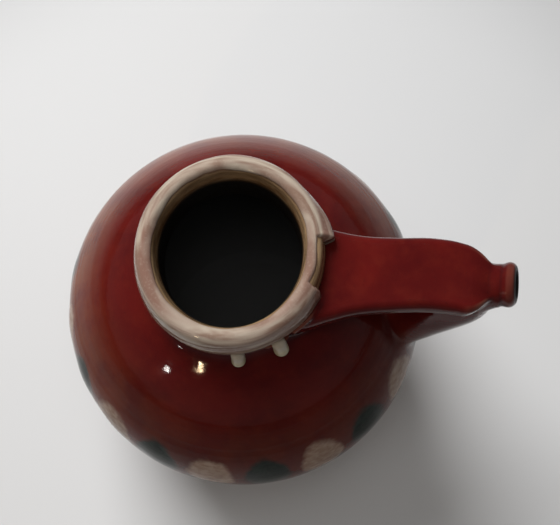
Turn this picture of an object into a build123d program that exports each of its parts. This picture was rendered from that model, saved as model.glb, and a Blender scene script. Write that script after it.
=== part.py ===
from build123d import *
import os
from math import acos, asin, cos, degrees, radians, sin

# Round pouring vessel in glazed stoneware, in millimetres. +Z is up and the spout points along +X.
# The origin is on the axis of the belly, on the surface that the foot ring stands on.
# Every solid is one piece of clay, or one raised body of glaze, as the potter puts them together.

# Belly: one arc from the widest line up over the shoulder, and a tighter one from there down to the foot.
BELLY_R = 62.0
EQUATOR_Z = 55.0
SHOULDER_ARC_R = 66.8
BOWL_ARC_R = 57.8
SHOULDER_CENTRE = (BELLY_R - SHOULDER_ARC_R, EQUATOR_Z)
BOWL_CENTRE = (BELLY_R - BOWL_ARC_R, EQUATOR_Z)
WALL = 4.6
FLOOR_UNDERSIDE_Z = 5.0
FLOOR_TOP_Z = 10.0
BACK_AZIMUTH = 180.0

# The two thrown halves meet at the widest line, where a tongue on the bowl laps inside the shell.
LAP_HEIGHT = 4.0
LAP_R = BELLY_R - WALL / 2

# Foot ring, turned, with its top let into a groove under the bowl.
FOOT_OUTER_R = 32.0
FOOT_INNER_R = 25.5
FOOT_GROOVE = 1.0
FOOT_ROUNDING = 1.6

# Neck and collar. The collar is a thick roll with a spigot that sits in the neck.
NECK_START_ANGLE = 55.7
NECK_R = 27.4
NECK_HOLE_R = 21.6
COLLAR_SEAT_Z = 119.6
SPIGOT_R = 24.0
SPIGOT_Z = 115.2
THROAT_R = 20.6
THROAT_TOP_Z = 124.4
COLLAR_FOOT_R = 26.3
COLLAR_BULGE_R = 27.6
COLLAR_BULGE_Z = 124.6
CREST_OUTER = (26.8, 128.8)
CREST_TOP = (25.0, 131.7)
CREST_INNER = (22.4, 129.7)

# Pale glaze over the collar. It stops on both sides of the strap's root, and two beads run down from it.
GLAZE_THICKNESS = 0.8
GLAZE_LOW_Z = 120.4
GLAZE_INNER_LOW_Z = 127.0
LIP_R = 24.0
GLAZE_START_AZIMUTH = 15.0
GLAZE_ARC = 324.0
DRIP_AZIMUTHS = (-78.4, -55.2)
DRIP_R = 1.6
DRIP_TOP = (27.9, 120.2)
DRIP_LOW = (28.8, 117.0)

# Spout: circles square to a centre line in the XZ plane, each (x, z, slope in degrees, radius).
SPOUT_SECTIONS = (
    (43.0, 70.0, 58.0, 16.5),
    (51.5, 85.0, 61.0, 12.6),
    (57.5, 97.0, 63.0, 11.2),
    (62.5, 108.0, 61.0, 10.5),
    (66.5, 116.4, 52.0, 10.0),
    (70.2, 121.4, 38.0, 8.2),
    (74.2, 123.8, 20.0, 6.2),
)
SPOUT_WALL = 3.8

# Nozzle: lathe work on its own axis, from a spigot inside the tube out to a flared lip.
NOZZLE_START = SPOUT_SECTIONS[-1][:2]
NOZZLE_SLOPE = SPOUT_SECTIONS[-1][2]
NOZZLE_BORE_R = 3.4
NOZZLE_SPIGOT_R = 4.7
NOZZLE_SPIGOT_LENGTH = 2.4
NOZZLE_NECK_AT = 0.6
NOZZLE_NECK_R = 5.8
NOZZLE_FLARE_R = 6.5
NOZZLE_FLARE_AT = 3.2
NOZZLE_LIP_R = 5.6
NOZZLE_LENGTH = 5.5

# Strap: rounded bars square to X, each (x, top z, width, thickness).
STRAP_SECTIONS = (
    (24.0, 123.2, 31.0, 10.5),
    (29.0, 124.2, 26.0, 9.0),
    (36.0, 125.2, 22.4, 8.0),
    (46.0, 126.9, 20.8, 7.6),
    (56.0, 128.5, 20.6, 7.6),
    (63.0, 129.4, 20.2, 7.2),
    (67.0, 129.6, 17.6, 5.4),
    (71.0, 129.4, 12.4, 2.6),
)
STRAP_ROUNDING = 0.36

# Glaze dabs round the belly, alternately pale and dark.
DABS_OF_A_COLOUR = 10
DAB_STEP = 360 / DABS_OF_A_COLOUR
PALE_DAB_AZIMUTH = -20.0
DARK_DAB_AZIMUTH = PALE_DAB_AZIMUTH - DAB_STEP / 2
DAB_WIDTH = 15.6
DAB_HEIGHT = 26.0
DAB_CENTRE_Z = 69.0
DAB_THICKNESS = 0.6
DAB_PRISM_FROM = BELLY_R - 2 * WALL
DAB_PRISM_LENGTH = 3 * WALL


def belly_section(grow=0.0):
    """Half-section of the belly and neck as a full body, moved outward by grow."""
    low_angle = degrees(asin((EQUATOR_Z - FLOOR_UNDERSIDE_Z) / BOWL_ARC_R))
    with BuildSketch() as section:
        with BuildLine():
            bowl = CenterArc(BOWL_CENTRE, BOWL_ARC_R + grow, -low_angle, low_angle)
            shoulder = CenterArc(SHOULDER_CENTRE, SHOULDER_ARC_R + grow, 0, NECK_START_ANGLE)
            neck = TangentArc(shoulder @ 1, (NECK_R + grow, COLLAR_SEAT_Z), tangent=shoulder % 1)
            Polyline(neck @ 1, (0, COLLAR_SEAT_Z), (0, (bowl @ 0).Y), bowl @ 0)
        make_face()
    return section.sketch


def hollow_section():
    """Half-section of the space inside: the belly's room, the hole in the neck and the collar's seat."""
    bowl_r = BOWL_ARC_R - WALL
    shoulder_r = SHOULDER_ARC_R - WALL
    floor_angle = degrees(asin((EQUATOR_Z - FLOOR_TOP_Z) / bowl_r))
    hole_angle = degrees(acos((NECK_HOLE_R - SHOULDER_CENTRE[0]) / shoulder_r))
    with BuildSketch() as section:
        with BuildLine():
            bowl = CenterArc(BOWL_CENTRE, bowl_r, -floor_angle, floor_angle)
            shoulder = CenterArc(SHOULDER_CENTRE, shoulder_r, 0, hole_angle)
            Polyline(
                shoulder @ 1,
                (NECK_HOLE_R, SPIGOT_Z),
                (SPIGOT_R, SPIGOT_Z),
                (SPIGOT_R, COLLAR_SEAT_Z),
                (0, COLLAR_SEAT_Z),
                (0, FLOOR_TOP_Z),
                bowl @ 0,
            )
        make_face()
    return section.sketch


def lower_zone():
    """Half-section of the zone of the lower half: all under the widest line, and the lap's tongue."""
    corner = (Align.MIN, Align.MIN)
    with BuildSketch() as zone:
        Rectangle(BELLY_R * 2, EQUATOR_Z, align=corner)
        Rectangle(LAP_R, EQUATOR_Z + LAP_HEIGHT, align=corner)
    return zone.sketch


def collar_section():
    """Half-section of the clay collar with its spigot."""
    with BuildSketch() as section:
        with BuildLine():
            side = ThreePointArc((COLLAR_FOOT_R, COLLAR_SEAT_Z), (COLLAR_BULGE_R, COLLAR_BULGE_Z), CREST_OUTER)
            crest = ThreePointArc(CREST_OUTER, CREST_TOP, CREST_INNER)
            Polyline(
                crest @ 1,
                (THROAT_R, THROAT_TOP_Z),
                (THROAT_R, SPIGOT_Z),
                (SPIGOT_R, SPIGOT_Z),
                (SPIGOT_R, COLLAR_SEAT_Z),
                side @ 0,
            )
        make_face()
    return section.sketch


def glaze_section():
    """Half-section of the pale coat: a layer over the collar's side and crest, ending above its foot."""
    with BuildSketch() as section:
        add(collar_section())
        offset(amount=GLAZE_THICKNESS)
        add(collar_section(), mode=Mode.SUBTRACT)
        Rectangle(2 * BELLY_R, 2 * GLAZE_LOW_Z, mode=Mode.SUBTRACT)
        Rectangle(2 * LIP_R, 2 * GLAZE_INNER_LOW_Z, mode=Mode.SUBTRACT)
    return section.sketch


def inclined_plane(x, z, slope):
    """Plane square to a centre line that rises at slope towards +X, with its first axis along +Y."""
    angle = radians(slope)
    return Plane(origin=(x, 0, z), x_dir=(0, 1, 0), z_dir=(cos(angle), 0, sin(angle)))


def radial_plane(azimuth):
    """Upright plane through the vessel's axis, with its first axis pointing outward at that azimuth."""
    angle = radians(azimuth)
    return Plane(origin=(0, 0, 0), x_dir=(cos(angle), sin(angle), 0), z_dir=(sin(angle), -cos(angle), 0))


def spout_form(shrink=0.0):
    """The spout's tube as a full body, with every radius smaller by shrink."""
    with BuildPart() as tube:
        for x, z, slope, radius in SPOUT_SECTIONS:
            with BuildSketch(inclined_plane(x, z, slope)):
                Circle(max(radius - shrink, NOZZLE_BORE_R))
        loft()
    return tube.part


def glaze_dabs(first_azimuth):
    """The dabs of one colour, each a patch of a thin coat on the belly."""
    with BuildPart() as dabs:
        for step in range(DABS_OF_A_COLOUR):
            face = radial_plane(first_azimuth + step * DAB_STEP)
            start = face.x_dir * DAB_PRISM_FROM + Vector(0, 0, DAB_CENTRE_Z)
            with BuildSketch(Plane(origin=start, x_dir=face.z_dir, z_dir=face.x_dir)):
                Ellipse(DAB_WIDTH / 2, DAB_HEIGHT / 2)
            extrude(amount=DAB_PRISM_LENGTH)
        with BuildSketch(Plane.XZ):
            add(belly_section(DAB_THICKNESS))
        revolve(axis=Axis.Z, mode=Mode.INTERSECT)
        add(belly_form.part, mode=Mode.SUBTRACT)
        add(outer_tube, mode=Mode.SUBTRACT)
    return dabs.part


# Full bodies that only cut the pieces that sit on them: the belly with its neck, and the collar.
with BuildPart() as belly_form:
    with BuildSketch(radial_plane(BACK_AZIMUTH)):
        add(belly_section())
    revolve(axis=Axis.Z)

with BuildPart() as collar_form:
    with BuildSketch(radial_plane(BACK_AZIMUTH)):
        add(collar_section())
        Rectangle(2 * SPIGOT_R, 2 * CREST_TOP[1])
        split(bisect_by=Plane.YZ, keep=Keep.TOP)
    revolve(axis=Axis.Z)

outer_tube = spout_form()
inner_tube = spout_form(SPOUT_WALL)

# Foot ring.
with BuildPart() as foot_ring:
    with BuildSketch(Plane.XZ):
        with Locations(((FOOT_OUTER_R + FOOT_INNER_R) / 2, 0)):
            Rectangle(
                FOOT_OUTER_R - FOOT_INNER_R,
                FLOOR_UNDERSIDE_Z + FOOT_GROOVE,
                align=(Align.CENTER, Align.MIN),
            )
    revolve(axis=Axis.Z)
    fillet(foot_ring.edges().group_by(Axis.Z)[0], radius=FOOT_ROUNDING)
foot_ring.part.label = "foot_ring"

# Lower bowl with the floor, the groove for the foot ring and the tongue of the lap.
with BuildPart() as lower_bowl:
    with BuildSketch(radial_plane(BACK_AZIMUTH)):
        add(belly_section())
        add(hollow_section(), mode=Mode.SUBTRACT)
        add(lower_zone(), mode=Mode.INTERSECT)
        with Locations(((FOOT_OUTER_R + FOOT_INNER_R) / 2, FLOOR_UNDERSIDE_Z)):
            Rectangle(FOOT_OUTER_R - FOOT_INNER_R, 2 * FOOT_GROOVE, mode=Mode.SUBTRACT)
    revolve(axis=Axis.Z)
lower_bowl.part.label = "lower_bowl"

# Upper shell with the collar's seat and the hole that feeds the spout.
with BuildPart() as upper_shell:
    with BuildSketch(radial_plane(BACK_AZIMUTH)):
        add(belly_section())
        add(hollow_section(), mode=Mode.SUBTRACT)
        add(lower_zone(), mode=Mode.SUBTRACT)
    revolve(axis=Axis.Z)
    add(inner_tube, mode=Mode.SUBTRACT)
upper_shell.part.label = "upper_shell"

# Collar with the open mouth. Its throat is a true cylinder.
with BuildPart() as neck_collar:
    with BuildSketch(radial_plane(BACK_AZIMUTH)):
        add(collar_section())
    revolve(axis=Axis.Z)
neck_collar.part.label = "neck_collar"

# Spout tube, saddled on the shoulder, with a socket for the nozzle.
with BuildPart() as spout_body:
    add(outer_tube)
    add(inner_tube, mode=Mode.SUBTRACT)
    with BuildSketch(inclined_plane(*NOZZLE_START, NOZZLE_SLOPE)):
        Circle(NOZZLE_SPIGOT_R)
    extrude(amount=-NOZZLE_SPIGOT_LENGTH, mode=Mode.SUBTRACT)
    add(belly_form.part, mode=Mode.SUBTRACT)
spout_body.part.label = "spout_body"

# Nozzle, turned about its own axis from a section drawn on the XZ side of that axis.
tube_end = inclined_plane(*NOZZLE_START, NOZZLE_SLOPE)
with BuildPart() as spout_nozzle:
    with BuildSketch(Plane(origin=tube_end.origin, x_dir=tube_end.z_dir, z_dir=tube_end.x_dir)):
        with BuildLine():
            neck = Line((0, SPOUT_SECTIONS[-1][3]), (NOZZLE_NECK_AT, NOZZLE_NECK_R))
            flare = Spline(
                neck @ 1,
                (NOZZLE_FLARE_AT, NOZZLE_FLARE_R),
                (NOZZLE_LENGTH, NOZZLE_LIP_R),
                tangents=((1, 0), (0, -1)),
            )
            Polyline(
                flare @ 1,
                (NOZZLE_LENGTH, NOZZLE_BORE_R),
                (-NOZZLE_SPIGOT_LENGTH, NOZZLE_BORE_R),
                (-NOZZLE_SPIGOT_LENGTH, NOZZLE_SPIGOT_R),
                (0, NOZZLE_SPIGOT_R),
                neck @ 0,
            )
        make_face()
    revolve(axis=Axis(tube_end.origin, tube_end.z_dir))
spout_nozzle.part.label = "spout_nozzle"

# Pale glaze coat over the collar, from one side of the strap's root round to the other.
with BuildPart() as collar_glaze:
    with BuildSketch(radial_plane(GLAZE_START_AZIMUTH)):
        add(glaze_section())
    revolve(axis=Axis.Z, revolution_arc=GLAZE_ARC)
collar_glaze.part.label = "collar_glaze"

# Strap, from the collar's side to the top of the spout.
with BuildPart() as strap_handle:
    for x, top_z, width, thickness in STRAP_SECTIONS:
        with BuildSketch(Plane(origin=(x, 0, top_z - thickness / 2), x_dir=(0, 1, 0), z_dir=(1, 0, 0))):
            RectangleRounded(width, thickness, STRAP_ROUNDING * thickness)
    loft()
    add(outer_tube, mode=Mode.SUBTRACT)
    add(belly_form.part, mode=Mode.SUBTRACT)
    add(collar_form.part, mode=Mode.SUBTRACT)
    add(collar_glaze.part, mode=Mode.SUBTRACT)
strap_handle.part.label = "strap_handle"

# Beads of the pale glaze that ran down under the collar, each a round-ended rod.
with BuildPart() as glaze_drips:
    for azimuth in DRIP_AZIMUTHS:
        upright = radial_plane(azimuth)
        low = upright.from_local_coords(DRIP_LOW)
        run = upright.from_local_coords(DRIP_TOP) - low
        with BuildSketch(Plane(origin=low, x_dir=run, z_dir=upright.z_dir)):
            with Locations((run.length / 2, 0)):
                SlotCenterToCenter(run.length, 2 * DRIP_R)
            split(bisect_by=Plane.XZ, keep=Keep.TOP)
        revolve(axis=Axis(low, run))
    add(belly_form.part, mode=Mode.SUBTRACT)
    add(collar_form.part, mode=Mode.SUBTRACT)
    add(collar_glaze.part, mode=Mode.SUBTRACT)
glaze_drips.part.label = "glaze_drips"

# Dabs of glaze, alternately pale and dark.
with BuildPart() as pale_spots:
    add(glaze_dabs(PALE_DAB_AZIMUTH))
pale_spots.part.label = "pale_spots"

with BuildPart() as dark_spots:
    add(glaze_dabs(DARK_DAB_AZIMUTH))
dark_spots.part.label = "dark_spots"

os.makedirs("parts", exist_ok=True)
export_step(foot_ring.part, "parts/foot_ring.step")
export_step(lower_bowl.part, "parts/lower_bowl.step")
export_step(upper_shell.part, "parts/upper_shell.step")
export_step(neck_collar.part, "parts/neck_collar.step")
export_step(spout_body.part, "parts/spout_body.step")
export_step(spout_nozzle.part, "parts/spout_nozzle.step")
export_step(strap_handle.part, "parts/strap_handle.step")
export_step(collar_glaze.part, "parts/collar_glaze.step")
export_step(glaze_drips.part, "parts/glaze_drips.step")
export_step(pale_spots.part, "parts/pale_spots.step")
export_step(dark_spots.part, "parts/dark_spots.step")
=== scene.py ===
"""Looks of a squat round pouring bottle: red glaze, a pale glazed collar, a strap from collar to spout.

Lengths in the shape code are millimetres in the CAD frame, and meshes are scaled to metres when made.
The shell, the spout, the nozzle and the strap are one fired body, so their surface is one signed-distance
field with soft joints, meshed piece by piece. The other pieces are turned or laid on that body.
"""

import math

import bpy
import numpy as np
from mathutils import Matrix, Vector


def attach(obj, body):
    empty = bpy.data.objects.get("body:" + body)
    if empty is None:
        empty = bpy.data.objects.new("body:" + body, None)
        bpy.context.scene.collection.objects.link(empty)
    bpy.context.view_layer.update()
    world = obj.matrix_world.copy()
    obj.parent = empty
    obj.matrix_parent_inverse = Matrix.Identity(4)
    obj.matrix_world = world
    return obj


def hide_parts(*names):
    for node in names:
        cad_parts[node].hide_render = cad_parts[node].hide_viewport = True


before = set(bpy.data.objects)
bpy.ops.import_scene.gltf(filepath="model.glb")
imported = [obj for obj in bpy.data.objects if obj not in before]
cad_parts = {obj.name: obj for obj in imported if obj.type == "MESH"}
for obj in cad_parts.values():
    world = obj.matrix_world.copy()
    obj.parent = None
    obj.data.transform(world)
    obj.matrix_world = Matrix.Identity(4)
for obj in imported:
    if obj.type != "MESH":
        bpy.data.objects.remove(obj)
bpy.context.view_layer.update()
MM = 0.001

# ---------------------------------------------------------------- dimensions (mm)
BELLY_R = 62.0
EQUATOR_Z = 55.0
SHOULDER_ARC_R = 66.8
BOWL_ARC_R = 57.8
WALL = 4.6
FLOOR_UNDERSIDE_Z = 5.0
FLOOR_TOP_Z = 10.0
LAP = 0.25
NECK_R = 25.8
NECK_TOP_Z = 119.3
NECK_FILLET = 5.5
THROAT_R = 20.9
THROAT_LOW_Z = 95.0
# The neck, the throat and the collar are a little oval.
OVAL_X = 0.965
OVAL_Y = 1.022

# Clay collar: the arcs of its outer side and its crest, and its throat and spigot.
COLLAR_SIDE = (17.55, 124.75)
COLLAR_SIDE_R = 9.95
COLLAR_CREST = (24.25, 128.65)
COLLAR_CREST_R = 2.6
COLLAR_THROAT_R = 20.6
COLLAR_SPIGOT_R = 24.4
COLLAR_LOW_Z = 115.4

# Foot ring, turned.
FOOT_OUTER_R = 32.0
FOOT_INNER_R = 25.5
FOOT_TOP_Z = 6.0
FOOT_ROUNDING = 1.5
FOOT_SPREAD = 0.3

# Spout centre line in the XZ plane: x, z, radius.
SPOUT_LINE = np.array([
    (43.0, 70.0, 16.5),
    (51.5, 85.0, 12.6),
    (57.5, 97.0, 11.2),
    (62.5, 108.0, 10.5),
    (66.5, 116.4, 9.7),
    (70.0, 121.4, 7.8),
    (74.2, 123.8, 5.7),
])
SPOUT_WALL = 3.8
CHANNEL_MIN_R = 3.4

# Nozzle. It starts at x, z, rises at a slope, and turns aside past an x by a part of the way it has gone.
NOZZLE_START = (74.2, 123.8)
NOZZLE_SLOPE = math.radians(20.0)
NOZZLE_ROOT = -4.0
NOZZLE_JOINT = 0.2
NOZZLE_LENGTH = 5.75
NOZZLE_LIP_ROUNDING = 2.6
NOZZLE_TURN_FROM_X = 72.0
NOZZLE_TURN = 0.09
BORE_FLARE = 0.6
# The nozzle about its own axis: distance along it, radius.
NOZZLE_PROFILE = np.array([
    (-5.0, 7.7),
    (-3.2, 6.7),
    (-1.6, 6.0),
    (0.0, 5.75),
    (1.8, 5.9),
    (3.6, 6.35),
    (4.8, 6.1),
    (6.2, 5.3),
])

# Strap square to X: x, top z, width, thickness, sideways shift.
STRAP = np.array([
    (14.0, 122.4, 34.0, 11.0, -2.9),
    (24.0, 123.4, 30.2, 10.6, -2.5),
    (29.0, 124.3, 26.8, 9.2, -2.1),
    (36.0, 125.2, 23.2, 8.0, -1.3),
    (46.0, 126.9, 21.3, 7.6, -0.3),
    (56.0, 128.5, 20.7, 7.6, 0.6),
    (63.0, 129.3, 20.0, 7.2, 0.3),
    (66.5, 129.5, 19.0, 6.4, -0.2),
    (69.0, 129.3, 16.0, 5.0, -0.3),
    (71.5, 128.6, 11.5, 3.8, -0.1),
    (74.5, 127.6, 7.5, 3.0, 0.1),
])
STRAP_ROUNDING = 0.36
STRAP_CROWN = 0.35
STRAP_CROWN_LOW = -0.5
STRAP_INNER_R = 23.6
STRAP_END_X = 73.4
STRAP_OFF_NOZZLE = 1.6

# Ridge of glaze under the collar. It runs out from the neck and climbs onto the strap's root.
RIDGE_R = 25.4
RIDGE_THICKNESS = 1.0
RIDGE_Z = 118.3
RIDGE_OUTER_RISE = 0.6
RIDGE_CLIMB = 4.3
RIDGE_FADE = 5.0

# Glaze dabs, alternately pale and dark round the belly.
DABS_OF_A_COLOUR = 10
DAB_STEP = 360 / DABS_OF_A_COLOUR
PALE_DAB_AZIMUTH = -20.0
DAB_HALF_WIDTH = 8.0
DAB_HALF_HEIGHT = 14.4
DAB_CENTRE_Z = 69.8
DAB_RISE = 0.30
DAB_SINK = 0.03
DAB_DEPTH = 0.8

# Pale coat: where it starts and ends on the collar's section, and the azimuths of the flaps at the strap.
COAT_LOW_Z = 120.0
COAT_INNER_Z = 130.4
COAT_THICKNESS = 0.56
COAT_UNDERSIDE = 0.6
FLAP_FROM = 12.4
FLAP_TO = -17.0

# Glaze beads under the collar: azimuth, size, how much lower than the first.
BEADS = ((-78.4, 1.0, 0.0), (-54.0, 1.08, 0.9))
BEAD_R = 1.95
BEAD_TOP = (27.4, 122.0)
BEAD_LOW = (29.7, 115.7)


# ---------------------------------------------------------------- curves and smooth joints
def hermite(xs, ys, x):
    """Smooth curve through the points (xs, ys), read at x; level with the end values outside them."""
    slopes = np.gradient(ys, xs)
    x = np.clip(x, xs[0], xs[-1])
    i = np.clip(np.searchsorted(xs, x) - 1, 0, len(xs) - 2)
    span = xs[i + 1] - xs[i]
    t = (x - xs[i]) / span
    a, b = ys[i], ys[i + 1]
    ma, mb = slopes[i] * span, slopes[i + 1] * span
    t2, t3 = t * t, t * t * t
    return (2 * t3 - 3 * t2 + 1) * a + (t3 - 2 * t2 + t) * ma + (3 * t2 - 2 * t3) * b + (t3 - t2) * mb


def smooth_min(a, b, k):
    """The smaller of two distances, blended where they differ by less than k."""
    near = np.maximum(k - np.abs(a - b), 0) / k
    return np.minimum(a, b) - near**3 * (k / 6)


def smooth_max(a, b, k):
    return -smooth_min(-a, -b, k)


def unit(vectors):
    return vectors / np.maximum(np.linalg.norm(vectors, axis=1), 1e-12)[:, None]


def run_length(points):
    """Length of a run of points up to each of them."""
    return np.concatenate([[0], np.cumsum(np.linalg.norm(np.diff(points, axis=0), axis=1))])


def ramp(x, low, high):
    """0 below low, 1 above high, and smooth between them."""
    t = np.clip((x - low) / (high - low), 0, 1)
    return t * t * (3 - 2 * t)


# ---------------------------------------------------------------- signed-distance field of the fired body
def belly_distance(r, z):
    """Distance to the belly, outside positive: one arc under the widest line and a wider one above it."""
    low = np.hypot(r - (BELLY_R - BOWL_ARC_R), z - EQUATOR_Z) - BOWL_ARC_R
    high = np.hypot(r - (BELLY_R - SHOULDER_ARC_R), z - EQUATOR_Z) - SHOULDER_ARC_R
    return np.where(z < EQUATOR_Z, low, high)


def spout_samples():
    """The spout's centre line and radius at many points along it."""
    at = np.arange(len(SPOUT_LINE), dtype=float)
    fine = np.linspace(0, len(SPOUT_LINE) - 1, 97)
    return [hermite(at, SPOUT_LINE[:, i], fine) for i in range(3)]


SPOUT_X, SPOUT_Z, SPOUT_R = spout_samples()


def spout_reach(x, z):
    """Distance in the XZ plane to the spout's centre line, and the tube's radius at the nearest point."""
    best = np.full(np.broadcast(x, z).shape, 1e9)
    radius = np.zeros_like(best)
    for i in range(len(SPOUT_X) - 1):
        ax, az = SPOUT_X[i], SPOUT_Z[i]
        dx, dz = SPOUT_X[i + 1] - ax, SPOUT_Z[i + 1] - az
        t = np.clip(((x - ax) * dx + (z - az) * dz) / (dx * dx + dz * dz), 0, 1)
        gap = (x - ax - t * dx) ** 2 + (z - az - t * dz) ** 2
        closer = gap < best
        best = np.where(closer, gap, best)
        radius = np.where(closer, SPOUT_R[i] + t * (SPOUT_R[i + 1] - SPOUT_R[i]), radius)
    return np.sqrt(best), radius


def strap_distance(x, y, z):
    """Distance to the strap: a rounded bar with a slight crown, which starts behind the collar's wall."""
    top, width, thick, shift = (hermite(STRAP[:, 0], STRAP[:, i], x) for i in (1, 2, 3, 4))
    corner = STRAP_ROUNDING * thick
    crown = STRAP_CROWN * (1 - ((y - shift) / (width / 2)) ** 2)
    side = np.abs(y - shift) - width / 2 + corner
    up = np.abs(z - (top - thick / 2) - np.maximum(crown, STRAP_CROWN_LOW)) - thick / 2 + corner
    d = np.hypot(np.maximum(side, 0), np.maximum(up, 0)) + np.minimum(np.maximum(side, up), 0) - corner
    d = smooth_max(d, x - STRAP_END_X, 4.0)
    d = np.maximum(d, STRAP[0, 0] - x)
    return smooth_max(d, STRAP_INNER_R - np.hypot(x / OVAL_X, y / OVAL_Y), 1.0)


def ridge_distance(azimuth, oval_r, z):
    """Distance to the glaze ridge, which fades at both ends and reaches further out beside the strap."""
    fade = RIDGE_FADE * (1 - ramp(azimuth, -84, -56) * ramp(-azimuth, 12, 20))
    reach_out = 1.7 + 1.9 * np.exp(-(((azimuth + 27) / 22) ** 2))
    out = np.clip((oval_r - RIDGE_R) / reach_out, 0, 1)
    ridge_z = RIDGE_Z + RIDGE_OUTER_RISE * out + RIDGE_CLIMB * ramp(azimuth, -60, -40)
    return np.hypot(oval_r - RIDGE_R - reach_out * out, z - ridge_z) - RIDGE_THICKNESS + fade


def nozzle_place(x, y, z):
    """Distance along the nozzle's axis from its start, and distance from the axis."""
    dx, dz = x - NOZZLE_START[0], z - NOZZLE_START[1]
    along = dx * math.cos(NOZZLE_SLOPE) + dz * math.sin(NOZZLE_SLOPE)
    drop = dz * math.cos(NOZZLE_SLOPE) - dx * math.sin(NOZZLE_SLOPE)
    return along, np.hypot(drop, y - NOZZLE_TURN * np.maximum(x - NOZZLE_TURN_FROM_X, 0))


def parts_of(x, y, z):
    """Distances of the body's parts at points x, y, z, and the distance along the nozzle's axis."""
    oval_r = np.hypot(x / OVAL_X, y / OVAL_Y)
    belly = belly_distance(np.hypot(x, y), z)
    neck = smooth_max(oval_r - NECK_R, z - NECK_TOP_Z, 0.8)
    reach, radius = spout_reach(x, z)
    across = np.hypot(reach, y)
    along, off_axis = nozzle_place(x, y, z)
    nozzle = off_axis - hermite(NOZZLE_PROFILE[:, 0], NOZZLE_PROFILE[:, 1], along)
    nozzle = smooth_max(nozzle, along - NOZZLE_LENGTH, NOZZLE_LIP_ROUNDING)
    room = smooth_max(belly + WALL, FLOOR_TOP_Z - z, 3.0)
    channel = across - np.maximum(radius - SPOUT_WALL, CHANNEL_MIN_R)
    flare = BORE_FLARE * np.exp(np.minimum(along - NOZZLE_LENGTH, 0) / 0.8)
    bore = np.maximum(off_axis - CHANNEL_MIN_R - flare, NOZZLE_ROOT - along)
    return {
        "body": smooth_min(belly, neck, NECK_FILLET),
        "ridge": ridge_distance(np.degrees(np.arctan2(y, x)), oval_r, z),
        "tube": smooth_max(across - radius, along - 0.6, 0.6),
        "nozzle": np.maximum(nozzle, NOZZLE_ROOT - along),
        "strap": strap_distance(x, y, z),
        "room": smooth_min(room, np.maximum(oval_r - THROAT_R, THROAT_LOW_Z - z), 8.0),
        "channel": smooth_min(np.maximum(channel, along), bore, 1.5),
        "along": along,
    }


def field(x, y, z):
    """Signed distance of the fired body without its collar and foot, negative in the clay."""
    p = parts_of(x, y, z)
    outer = smooth_min(p["body"], p["tube"], 4.5)
    outer = smooth_min(outer, p["strap"], 2.6 * (1 + ramp(x, 45, 60) - ramp(x, 65, 71)))
    outer = smooth_min(outer, p["nozzle"], 2.4)
    outer = smooth_min(outer, p["ridge"], 1.2)
    hollow = smooth_min(p["room"], p["channel"], 4.0)
    return smooth_max(outer, -hollow, 0.9)


def gradient(points, step=0.02):
    """Slope of the field at points."""
    g = np.empty_like(points)
    for axis in range(3):
        shift = np.zeros(3)
        shift[axis] = step
        ahead, behind = points + shift, points - shift
        g[:, axis] = (field(*ahead.T) - field(*behind.T)) / (2 * step)
    return g


def settle(points, rounds=3):
    """Moves points onto the surface of the field."""
    for _ in range(rounds):
        g = gradient(points)
        points = points - (field(*points.T) / np.maximum((g * g).sum(1), 0.05))[:, None] * g
    return points


# ---------------------------------------------------------------- meshing
SAME_HOLE = 9.0
CORNERS = [(i, j, k) for i in (0, 1) for j in (0, 1) for k in (0, 1)]
EDGES = [(a, b) for a in range(8) for b in range(a + 1, 8)
         if sum(abs(p - q) for p, q in zip(CORNERS[a], CORNERS[b])) == 1]


def surface_nets(low, high, step):
    """Triangles of the field's surface inside a box, one vertex for each crossed cell."""
    axes = [np.arange(low[i], high[i] + step, step) for i in range(3)]
    values = field(*np.meshgrid(*axes, indexing="ij"))
    inside = values < 0
    counts = np.zeros(tuple(n - 1 for n in inside.shape), np.int8)
    for i, j, k in CORNERS:
        counts += inside[i:inside.shape[0] - 1 + i, j:inside.shape[1] - 1 + j, k:inside.shape[2] - 1 + k]
    cells = np.argwhere((counts > 0) & (counts < 8))
    at_corner = [values[tuple((cells + c).T)] for c in CORNERS]
    total, hits = np.zeros((len(cells), 3)), np.zeros(len(cells))
    for a, b in EDGES:
        va, vb = at_corner[a], at_corner[b]
        crossed = (va < 0) != (vb < 0)
        t = np.where(crossed, va / np.where(crossed, va - vb, 1), 0)
        spot = np.array(CORNERS[a]) + t[:, None] * (np.array(CORNERS[b]) - np.array(CORNERS[a]))
        total += spot * crossed[:, None]
        hits += crossed
    points = np.array(low) + (cells + total / hits[:, None]) * step
    number = np.full(counts.shape, -1, np.int32)
    number[tuple(cells.T)] = np.arange(len(cells))
    triangles = []
    for axis in range(3):
        first, second = [a for a in range(3) if a != axis]
        here = [slice(0, -1) if a == axis else slice(None) for a in range(3)]
        ahead = [slice(1, None) if a == axis else slice(None) for a in range(3)]
        edges = np.argwhere(inside[tuple(here)] != inside[tuple(ahead)])
        fits = np.all((edges[:, [first, second]] > 0)
                      & (edges[:, [first, second]] < np.array(counts.shape)[[first, second]]), axis=1)
        edges = edges[fits]
        ring = []
        for df, ds in ((-1, -1), (0, -1), (0, 0), (-1, 0)):
            cell = edges.copy()
            cell[:, first] += df
            cell[:, second] += ds
            ring.append(number[tuple(cell.T)])
        quad = np.stack(ring, 1)
        flip = inside[tuple(edges.T)] == (axis == 1)
        quad[flip] = quad[flip][:, ::-1]
        diagonal = (np.linalg.norm(points[quad[:, 0]] - points[quad[:, 2]], axis=1)
                    <= np.linalg.norm(points[quad[:, 1]] - points[quad[:, 3]], axis=1))
        for use, order in ((diagonal, (0, 1, 2, 0, 2, 3)), (~diagonal, (1, 2, 3, 1, 3, 0))):
            triangles.append(quad[use][:, order].reshape(-1, 3))
    return points, np.concatenate(triangles)


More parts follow.
